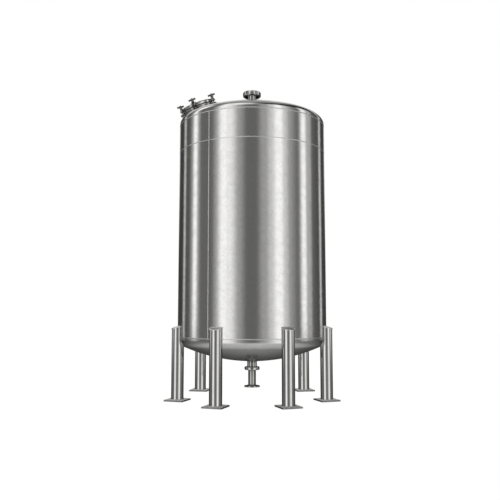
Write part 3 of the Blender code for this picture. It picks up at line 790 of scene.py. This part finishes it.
def makeSaddleWeld(name, foot):
    # From the cap down one side of the leg, under the head and up the other side.
    edge = crossingTurn(foot)
    steps = legLook["saddleSteps"]
    stations = [saddleEnd(foot, edge, edge)]
    for i in range(steps + 1):
        turn = edge + (2 * math.pi - 2 * edge) * i / steps
        point, flat = legPoint(foot, turn, 0.0)
        distance = (point - tank["axis"]).to_2d().length
        point.z = headHeight(bottomHead, min(distance, tank["radius"]))
        down = Vector((0, 0, -1)) if 0 < i < steps else shellOut(point)
        stations.append((point, (flat + down).normalized()))
    stations.append(saddleEnd(foot, edge, -edge))
    path, outs = columns(stations)
    weldBead("weld_saddle_" + name, path, outs, beads["fine"], closed=False).visible_glossy = False


def makeCapWeld(name, foot):
    # Round the cap's rim, and back along the shell.
    edge = crossingTurn(foot)
    up = Vector((0, 0, 1))
    stations = []
    for i in range(legLook["capSteps"] + 1):
        turn = -edge + 2 * edge * i / legLook["capSteps"]
        point, flat = legPoint(foot, turn, capHeight(turn) - legLook["rimDrop"])
        stations.append((point, (flat * legLook["rimLean"] + up).normalized()))
    first, last = stations[0][0], stations[-1][0]
    middle = (foot - tank["axis"]).to_2d().normalized()
    for i in range(1, legLook["backSteps"]):
        out = shellOut(last.lerp(first, i / legLook["backSteps"]))
        point = tank["axis"] + out * tank["radius"]
        point.z = legLook["top"] - legLook["capSlope"] * (point - foot).to_2d().dot(middle)
        stations.append((point, (out + up).normalized()))
    path, outs = columns(stations)
    weldBead("weld_cap_" + name, path, outs, beads["rim"], finish="rimWeld").visible_glossy = False


def makeLegs():
    envelope = lowerEnvelope()
    for name in legNames:
        foot = legFoot(name)
        makeLeg(name, foot, envelope)
        makeSaddleWeld(name, foot)
        makeCapWeld(name, foot)
        ringWeld("weld_foot_" + name, legLook["radius"], 0.0, 45.0, foot).visible_glossy = False
        plate = frame["nodes"]["base_plate_" + name]
        plate.visible_glossy = False
        plate.data.materials.clear()
        plate.data.materials.append(materials["plate"])
    bpy.data.objects.remove(envelope, do_unlink=True)


makeLegs()
print("legs made")


# Nuts with hook-spanner slots

def cutSlots(nut, look):
    cutters = []
    for i in range(look["slots"]):
        turn = Matrix.Rotation(2 * math.pi * (i + 0.5) / look["slots"], 4, "Z")
        near = (look["radius"] - look["slotDepth"], -look["slotWidth"] / 2, look["bottom"] - overcut)
        far = (look["radius"] + look["slotDepth"], look["slotWidth"] / 2, look["top"] + overcut)
        cutters.append(block("slot", near, far, turn))
        cutters[-1].location = nut.location
    return carved(nut, *cutters)


def makeNut(node, look, opening, lipHigh):
    # Bevelled outside, with a thread inside and a lip at one end.
    radius, bevel = look["radius"], look["bevel"]
    low, high, thread, lip = look["bottom"], look["top"], look["thread"], look["lip"]
    outside = [(radius - bevel, high), (radius, high - bevel), (radius, low + bevel), (radius - bevel, low)]
    if lipHigh:
        inside = [(thread, low), (thread, high - lip), (opening, high - lip), (opening, high)]
    else:
        inside = [(opening, low), (opening, low + lip), (thread, low + lip), (thread, high)]
    ring = turnedOnAxis(node + "_fine", eased(outside + inside, 0.0015, 2), fineSteps)
    dress(softened(cutSlots(ring, look), 0.0010), "fitting", nodes=[node])


# Top nozzle

nozzle = {
    "neckRadius": 0.0585, "wall": 0.003, "flare": 0.004, "flareLength": 0.014,
    "ferruleRadius": 0.092, "ferruleHeight": 0.020,
    "opening": 0.080, "blankThickness": 0.010, "recess": 0.004, "crown": 0.002, "clearance": 0.0006,
}
nozzleNut = {
    "radius": 0.125, "bevel": 0.006, "lip": 0.010, "thread": 0.0926,
    "bottom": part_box("top_nozzle_nut")[0].z, "top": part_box("top_nozzle_nut")[1].z,
    "slots": 8, "slotDepth": 0.011, "slotWidth": 0.016,
}


def makeNozzleNeck(top):
    outer, ferrule = nozzle["neckRadius"], nozzle["ferruleRadius"]
    inner = outer - nozzle["wall"]
    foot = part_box("top_nozzle_neck")[0].z
    nutBottom = nozzleNut["bottom"]
    profile = [
        (ferrule, top), (ferrule, top - nozzle["ferruleHeight"]),
        (outer + nozzle["flare"], nutBottom), (outer, nutBottom - nozzle["flareLength"]),
        (outer, foot), (inner, foot), (inner, top),
    ]
    turnedPart("top_nozzle_neck", profile, 0.0015, "shadedFitting")


def makeNozzle():
    blankTop = nozzleNut["top"] - nozzleNut["lip"] - nozzle["clearance"]
    blankBottom = blankTop - nozzle["blankThickness"]
    makeNozzleNeck(blankBottom - hairGap)
    raised, raisedTop = nozzle["opening"] - nozzle["clearance"], nozzleNut["top"] - nozzle["recess"]
    blank = [
        (0.0, raisedTop), (raised, raisedTop - nozzle["crown"]), (raised, blankTop),
        (nozzle["ferruleRadius"], blankTop), (nozzle["ferruleRadius"], blankBottom), (0.0, blankBottom),
    ]
    turnedPart("top_nozzle_blank", blank, 0.0012, "fitting", closed=False)
    makeNut("top_nozzle_nut", nozzleNut, nozzle["opening"], True)
    radius = nozzle["neckRadius"]
    ringWeld("weld_nozzle", radius, headHeight(topHead, radius), 45.0)


makeNozzle()
print("top nozzle made")


# Bottom outlet

outlet = {
    "neckRadius": 0.0655, "wall": 0.003, "pipeRadius": 0.0520,
    "ferruleRadius": 0.076, "ferruleSlope": 0.006, "recess": 0.002,
    "linerRadius": 0.072, "linerThickness": 0.010, "clearance": 0.0006, "opening": 0.0600,
    "flangeRadius": 0.105, "flangeThickness": 0.016, "hub": 0.008, "hubRadius": 0.070,
}
outletNut = {
    "radius": 0.1025, "bevel": 0.010, "lip": 0.009, "thread": 0.0766,
    "bottom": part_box("outlet_nut")[0].z, "top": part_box("outlet_nut")[1].z,
    "slots": 6, "slotDepth": 0.011, "slotWidth": 0.016,
}


def makeOutletUnion(end):
    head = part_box("outlet_neck")[1].z
    outer, ferrule, radius = outlet["neckRadius"], outlet["ferruleRadius"], outlet["pipeRadius"]
    inner, bore = outer - outlet["wall"], radius - outlet["wall"]
    linerBottom = outletNut["bottom"] + outletNut["lip"] + outlet["clearance"]
    linerTop = linerBottom + outlet["linerThickness"]
    ferruleTop = outletNut["top"] - outlet["recess"]
    neckEnd = ferruleTop + outlet["ferruleSlope"]
    neck = [
        (outer, head), (outer, neckEnd), (ferrule, ferruleTop), (ferrule, linerTop + hairGap),
        (bore, linerTop + hairGap), (bore, ferruleTop), (inner, neckEnd), (inner, head),
    ]
    turnedPart("outlet_neck", neck, 0.0012, "shadedFitting")
    pipe = [
        (outlet["linerRadius"], linerTop), (outlet["linerRadius"], linerBottom),
        (outlet["opening"] - outlet["clearance"], linerBottom),
        (radius, linerBottom - outletNut["lip"]), (radius, end), (bore, end), (bore, linerTop),
    ]
    turnedPart("outlet_pipe", pipe, 0.0012, "shadedFitting")
    makeNut("outlet_nut", outletNut, outlet["opening"], False)


def makeOutlet():
    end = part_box("outlet_pipe")[0].z
    makeOutletUnion(end)
    top = end + outlet["flangeThickness"]
    hubTop = top + outlet["hub"]
    hole = outlet["pipeRadius"] + hairGap
    flange = [
        (hole, hubTop), (outlet["hubRadius"], hubTop), (outlet["flangeRadius"], top),
        (outlet["flangeRadius"], end), (hole, end),
    ]
    turnedPart("outlet_flange", flange, 0.0025, "shadedFitting")
    radius = outlet["neckRadius"]
    ringWeld("weld_outlet_head", radius, headHeight(bottomHead, radius), -45.0)
    ringWeld("weld_outlet_flange", outlet["pipeRadius"], hubTop, 45.0)


makeOutlet()
print("outlet made")


# Manway

def neckFoot(turn):
    # Where the neck's outside meets the top head, along the manway's axis.
    local = Vector((math.cos(turn), math.sin(turn), 0.0))
    start = manwayPlace @ (local * manway["neckRadius"])
    centre = tank["axis"] + Vector((0, 0, topHead["seam"] + headCentres(topHead)[2]))
    toStart = start - centre
    along = toStart.dot(manwayAxis)
    drop = along - math.sqrt(along**2 - toStart.length_squared + topHead["crown"] ** 2)
    point = start - manwayAxis * drop
    return point, (manwayTurn @ local + (point - centre).normalized()).normalized()


def makeManwayNeck():
    outer = manway["neckRadius"]
    inner = outer - manway["neckWall"]
    depth = 0.2  # more than reaches the head
    profile = [(outer, 0.0), (outer, -depth), (inner, -depth), (inner, 0.0)]
    neck = onManway(lathe("manway_neck_fine", profile, manway["steps"]))
    curve = dishCurve(topHead, -hairGap)
    bottom = topHead["seam"] - depth
    profile = curve + [(tank["radius"], bottom), (0.0, bottom)]
    envelope = turnedOnAxis("top_envelope", profile, tank["steps"], closed=False)
    dress(carved(neck, envelope), "fitting", nodes=["manway_neck"])


def makeManwayRing(node, radii, heights, ease, finish):
    (outer, inner), (low, high) = radii, heights
    ring = eased([(outer, high), (outer, low), (inner, low), (inner, high)], ease)
    dress(onManway(lathe(node + "_fine", ring, manway["steps"])), finish, nodes=[node])


def makeManwayRings():
    # The rim round the neck's end, and the gasket on it.
    radii = (manway["rimRadius"], manway["neckRadius"] + hairGap)
    makeManwayRing("manway_rim", radii, (-manway["rimThickness"], 0.0), 0.0018, "fitting")
    radii = (manway["rimRadius"] - manway["gasketInset"], manway["neckRadius"] - manway["neckWall"])
    makeManwayRing("manway_gasket", radii, (hairGap, manway["gasketThickness"]), 0.0016, "rubber")


def weldManway():
    feet = [neckFoot(2 * math.pi * i / manway["steps"]) for i in range(manway["steps"])]
    path, outs = columns(feet)
    weldBead("weld_manway", path, outs, beads["fillet"])
    path, outs = circle(Vector(), manway["neckRadius"], -manway["rimThickness"], manway["steps"], -45.0)
    path = [manwayPlace @ point for point in path]
    outs = [manwayTurn @ out for out in outs]
    weldBead("weld_manway_rim", path, outs, beads["fillet"])


def coverCurve(inset):
    # From the cover's middle to its lower edge, this far inside the outer face.
    flat = manway["rimRadius"] - manway["coverKnuckle"]
    shoulder = manway["coverTop"] - manway["coverKnuckle"]
    crown = (flat**2 + manway["coverRise"] ** 2) / (2 * manway["coverRise"])
    centre = manway["coverTop"] + manway["coverRise"] - crown
    join = math.asin(flat / crown)
    points = []
    for i in range(manway["crownSteps"]):
        angle = join * i / manway["crownSteps"]
        points.append(((crown - inset) * math.sin(angle), centre + (crown - inset) * math.cos(angle)))
    for i in range(manway["knuckleSteps"] + 1):
        angle = join + (math.pi / 2 - join) * i / manway["knuckleSteps"]
        bend = manway["coverKnuckle"] - inset
        points.append((flat + bend * math.sin(angle), shoulder + bend * math.cos(angle)))
    points.append((manway["rimRadius"] - inset, manway["gasketThickness"] + hairGap))
    return points


def flared(lug, inner, middle, turn):
    # Spreads a lug's outer face towards its foot, then turns it to its place.
    for vert in lug.data.vertices:
        if vert.co.x > inner and vert.co.z < middle:
            vert.co.x += manway["lugFlare"]
    lug.data.transform(turn)
    return lug


def makeCover():
    inner = coverCurve(manway["coverWall"])
    inner.reverse()
    cover = lathe("manway_cover_fine", coverCurve(0.0) + inner, manway["steps"], closed=False)
    lugs, gaps = [], []
    half, slot = manway["lugWidth"] / 2, manway["slotHalf"]
    for i in range(4):
        turn = Matrix.Rotation(i * math.pi / 2, 4, "Z")
        low = (manway["rimRadius"] - manway["coverWall"] / 2, -half, manway["lugBottom"])
        high = (manway["boltCircle"] + manway["lugReach"], half, manway["lugTop"])
        lugs.append(flared(block("lug", low, high), low[0] + 0.01, (low[2] + high[2]) / 2, turn))
        low = (manway["boltCircle"] - slot, -slot, manway["lugBottom"] - 2 * overcut)
        high = (manway["boltCircle"] + manway["slotReach"], slot, manway["lugTop"] + 2 * overcut)
        gaps.append(block("gap", low, high, turn))
    fused(cover, *lugs)
    carved(cover, *gaps)
    dress(onManway(softened(cover, 0.0020)), "cover", nodes=["manway_cover"])
    # The lugs beyond the polished middle take the nearly black bracket steel, a painted shade.
    cover.data.materials.append(materials["bracket"])
    for face in cover.data.polygons:
        if face.center.to_2d().length > manway["rimRadius"] + manway["polishedTo"]:
            face.material_index = 1


makeManwayNeck()
makeManwayRings()
weldManway()
makeCover()
print("manway made")


# Swing bolts, their clevises and their cross-bar nuts, each drawn with the pin's middle at the origin

bolt = {
    "pinRadius": 0.0070, "eyeRadius": 0.0145, "eyeThickness": 0.018,
    "radius": 0.009, "top": 0.116, "tip": 0.0015,
    "threadFrom": 0.045, "threadPitch": 0.0025, "threadDepth": 0.0012,
}
clevis = {
    "earGap": 0.0015, "earThickness": 0.012, "earRadius": 0.021, "earReach": 0.014, "web": 0.006,
    "pinHead": 0.004, "sunk": 0.004,
}
barNut = {
    "radius": 0.0185, "gap": 0.0015, "top": 0.110, "bore": 0.0093,
    "chamfer": 0.004, "shoulder": 0.006, "collar": 0.0015,
    "barHeight": 0.0965, "barRadius": 0.0125, "barLength": 0.098,
    "turns": {"front": 0.0, "right": -70.0, "back": -35.0, "left": -50.0},  # degrees about the bolt
}


def threadedShank():
    # The shank with a thread of plain ridges over its upper end.
    top = manway["pinDrop"] + bolt["top"]
    profile = [(0.0, top), (bolt["radius"] - bolt["tip"], top)]
    z = top - bolt["tip"]
    while z > manway["pinDrop"] + bolt["threadFrom"]:
        profile.append((bolt["radius"], z))
        profile.append((bolt["radius"] - bolt["threadDepth"], z - bolt["threadPitch"] / 2))
        z -= bolt["threadPitch"]
    profile += [(bolt["radius"], z), (bolt["radius"], bolt["eyeRadius"] / 2), (0.0, bolt["eyeRadius"] / 2)]
    return lathe("shank", profile, smallSteps["rod"], closed=False)


def makeBolt(name, place):
    half = bolt["eyeThickness"] / 2
    piece = threadedShank()
    fused(piece, rod("eye", bolt["eyeRadius"], (0, -half, 0), (0, half, 0), smallSteps["eye"], 0.0015))
    carved(piece, rod("hole", bolt["pinRadius"] + hairGap, (0, -0.05, 0), (0, 0.05, 0)))
    piece.name = "swing_bolt_" + name + "_fine"
    piece.matrix_world = place
    dress(piece, "bolt", "swing_bolt_" + name, ["swing_bolt_" + name])


def makeBarNut(name, place):
    bottom = manway["pinDrop"] + manway["lugTop"] + barNut["gap"]
    top = manway["pinDrop"] + barNut["top"]
    radius, collar = barNut["radius"], barNut["radius"] + barNut["collar"]
    hub = [
        (radius, top - barNut["shoulder"]), (radius, bottom + barNut["shoulder"]),
        (collar, bottom + barNut["chamfer"]), (collar, bottom), (barNut["bore"], bottom),
        (barNut["bore"], top), (radius - barNut["chamfer"], top),
    ]
    piece = lathe("t_nut_" + name + "_fine", eased(hub, 0.0012), smallSteps["eye"])
    z = manway["pinDrop"] + barNut["barHeight"]
    half = barNut["barLength"] / 2
    fused(piece, rod("bar", barNut["barRadius"], (0, -half, z), (0, half, z), ease=0.0045))
    carved(piece, rod("bore", barNut["bore"], (0, 0, 0), (0, 0, 2 * top), smallSteps["eye"]))
    piece.matrix_world = place @ Matrix.Rotation(math.radians(barNut["turns"][name]), 4, "Z")
    dress(piece, "bolt", "swing_bolt_" + name, ["t_nut_" + name])


def makeClevis(name, place):
    inner = bolt["eyeThickness"] / 2 + clevis["earGap"]
    outer = inner + clevis["earThickness"]
    back = manway["neckRadius"] - manway["boltCircle"]
    top = manway["pinDrop"] - manway["rimThickness"] - hairGap
    radius = clevis["earRadius"]
    sunk = back - clevis["sunk"]
    low = (sunk, -outer, -radius)
    piece = block("clevis_" + name + "_fine", low, (back + clevis["web"], outer, top))
    others = []
    for low, high in ((-outer, -inner), (inner, outer)):
        others.append(block("ear", (sunk, low, -radius), (clevis["earReach"], high, top)))
        start, end = (clevis["earReach"], low, 0), (clevis["earReach"], high, 0)
        others.append(rod("end", radius, start, end, smallSteps["eye"]))
    fused(piece, *others)
    neck = rod("neck", manway["neckRadius"] + hairGap, (0, 0, -0.1), (0, 0, 0.1), manway["steps"])
    neck.location.x = -manway["boltCircle"]
    carved(piece, neck)
    softened(piece, 0.0012)
    reach = outer + clevis["pinHead"]
    fused(piece, rod("pin", bolt["pinRadius"], (0, -reach, 0), (0, reach, 0), ease=0.0012))
    piece.matrix_world = place
    dress(piece, "bracket", "tank", ["clevis_" + name])


def makeSwingBolts():
    for i, name in enumerate(("front", "right", "back", "left")):
        turn = Matrix.Rotation(i * math.pi / 2, 4, "Z")
        station = turn @ Matrix.Translation((manway["boltCircle"], 0, -manway["pinDrop"]))
        place = manwayPlace @ station
        makeBolt(name, place)
        makeBarNut(name, place)
        makeClevis(name, place)


makeSwingBolts()
print("swing bolts made")


# Studio

studio = {
    "backdrop": 1,
    "room": 0.19,  # the even grey between the lights
    "roomBack": 0.06,
    "heights": (-28, -14, 46, 62),  # degrees over the horizon that the tall lights reach
    "lowerRight": 18,  # those on the right end this much lower
    "sideFoot": (-6, -1),  # those at the sides end between these heights
    # first and last full degree from the front, left and right fade, and strength
    "softboxes": (
        (-56, -20, 8, 13, 0.31),
        (-47, -34, 10, 15, 0.82),
        (-46.5, -41.5, 4, 4, 0.20),
        (17, 57, 11, 18, 0.32),
        (28.5, 53, 8, 6, 0.38),
        (39.5, 44, 10, 7.5, 0.64),
        (-102, -92, 11, 7.5, 0.40),
        (-99.5, -95.5, 5, 4.5, 0.95),
        (85.5, 88.5, 11, 5, 0.90),
        (84, 100.5, 7, 6.5, 0.43),
        (-129, -127, 6, 5, 0.65),
        (130, 132, 4.5, 6, 0.75),
    ),
    # as the softboxes, then the four heights between which it fades in and out
    "overhead": (
        ((-20, -10, 14, 28, 0.90), (22, 30, 44, 62)),
        ((-104, -86, 14, 12, 0.75), (30, 38, 48, 60)),
        ((152, 175, 30, 5, 0.85), (24, 38, 62, 76)),
        ((-175, -140, 5, 26, 0.75), (24, 40, 62, 76)),
        ((168, 180, 16, 1, 0.75), (4, 14, 23, 35)),
        ((-180, -168, 1, 16, 0.75), (4, 14, 23, 35)),
    ),
    "ceiling": (46, 72, 0.46),
    # where the floor's glow starts and is full, and how strong, in front and behind
    "floorFront": (-10, -27, 0.76),
    "floorBack": (-6, -54, 0.47),
}


def boxGlow(tree, turn, box):
    start, end, left, right, strength = box
    return times(tree, span(tree, turn, start - left, start, end, end + right), strength)


def studioLight(tree):
    # How bright the room is in a direction.
    x, y, z = xyzOf(tree, tree.nodes.new("ShaderNodeTexCoord").outputs["Generated"])
    degree = 180 / math.pi
    ahead = times(tree, y, -1.0)
    turn = times(tree, calc(tree, "ARCTAN2", x, ahead), degree)
    rise = times(tree, calc(tree, "ARCSINE", z), degree)
    away = calc(tree, "ABSOLUTE", turn)
    light = smoothStep(tree, away, 95.0, 138.0, studio["room"], studio["roomBack"])
    for box in studio["softboxes"]:
        glow = boxGlow(tree, turn, box)
        if min(abs(box[0]), abs(box[1])) > 80.0:
            glow = times(tree, glow, smoothStep(tree, rise, *studio["sideFoot"]))
        light = plus(tree, light, glow)
    lowered = plus(tree, rise, smoothStep(tree, turn, -5.0, 25.0, 0.0, studio["lowerRight"]))
    low, lowFull, highFull, high = studio["heights"]
    light = times(tree, light, smoothStep(tree, rise, low, lowFull))
    light = times(tree, light, smoothStep(tree, lowered, highFull, high, 1.0, 0.0))
    for box, heights in studio["overhead"]:
        glow = times(tree, boxGlow(tree, turn, box), span(tree, rise, *heights))
        light = plus(tree, light, glow)
    start, end, strength = studio["ceiling"]
    light = plus(tree, light, smoothStep(tree, rise, start, end, 0.0, strength))
    floor = [
        smoothStep(tree, ahead, 0.9, -0.8, front, back)
        for front, back in zip(studio["floorFront"], studio["floorBack"])
    ]
    return plus(tree, light, smoothStep(tree, rise, floor[0], floor[1], 0.0, floor[2]))


def isCameraRay(tree):
    return tree.nodes.new("ShaderNodeLightPath").outputs["Is Camera Ray"]


def showMixed(tree, share, first, second, output):
    both = addNode(tree, "ShaderNodeMixShader", {0: share, 1: first.outputs[0], 2: second.outputs[0]})
    addNode(tree, output, {"Surface": both.outputs[0]})


def makeWorld():
    world = bpy.data.worlds.new("studio")
    bpy.context.scene.world = world
    world.use_nodes = True
    tree = world.node_tree
    tree.nodes.clear()
    white = (1.0, 1.0, 1.0, 1.0)
    lit = addNode(tree, "ShaderNodeBackground", {"Color": white, "Strength": studioLight(tree)})
    plain = addNode(tree, "ShaderNodeBackground", {"Color": white, "Strength": studio["backdrop"]})
    showMixed(tree, isCameraRay(tree), lit, plain, "ShaderNodeOutputWorld")


def makeFloor():
    look = {"size": 60.0, "colour": (0.80, 0.80, 0.80, 1.0), "glow": 1.06, "share": 0.93}
    work = bmesh.new()
    bmesh.ops.create_grid(work, x_segments=1, y_segments=1, size=look["size"] / 2)
    floor = meshObject("studio_floor", work)
    material, tree, _ = principled("paleFloor")
    tree.nodes.clear()
    matt = addNode(tree, "ShaderNodeBsdfDiffuse", {"Color": look["colour"]})
    glow = addNode(tree, "ShaderNodeEmission", {"Strength": look["glow"]})
    share = times(tree, isCameraRay(tree), look["share"])
    showMixed(tree, share, matt, glow, "ShaderNodeOutputMaterial")
    floor.data.materials.append(material)
    floor.visible_glossy = False


def makeCamera():
    look = {
        "distance": 8.55, "height": 1.142, "tilt": 5.61, "turn": 0.183,
        "focalPixels": 626.0, "imagePixels": 500.0,
    }
    data = bpy.data.cameras.new("camera")
    data.sensor_width = 36.0
    data.lens = data.sensor_width * look["focalPixels"] / look["imagePixels"]
    camera = linked(bpy.data.objects.new("camera", data))
    camera.location = tank["axis"] + Vector((0.0, -look["distance"], look["height"]))
    camera.rotation_euler = (math.radians(90.0 + look["tilt"]), 0.0, math.radians(look["turn"]))
    bpy.context.scene.camera = camera


makeWorld()
makeFloor()
makeCamera()
bpy.context.scene.view_settings.view_transform = "Standard"
print("studio made")
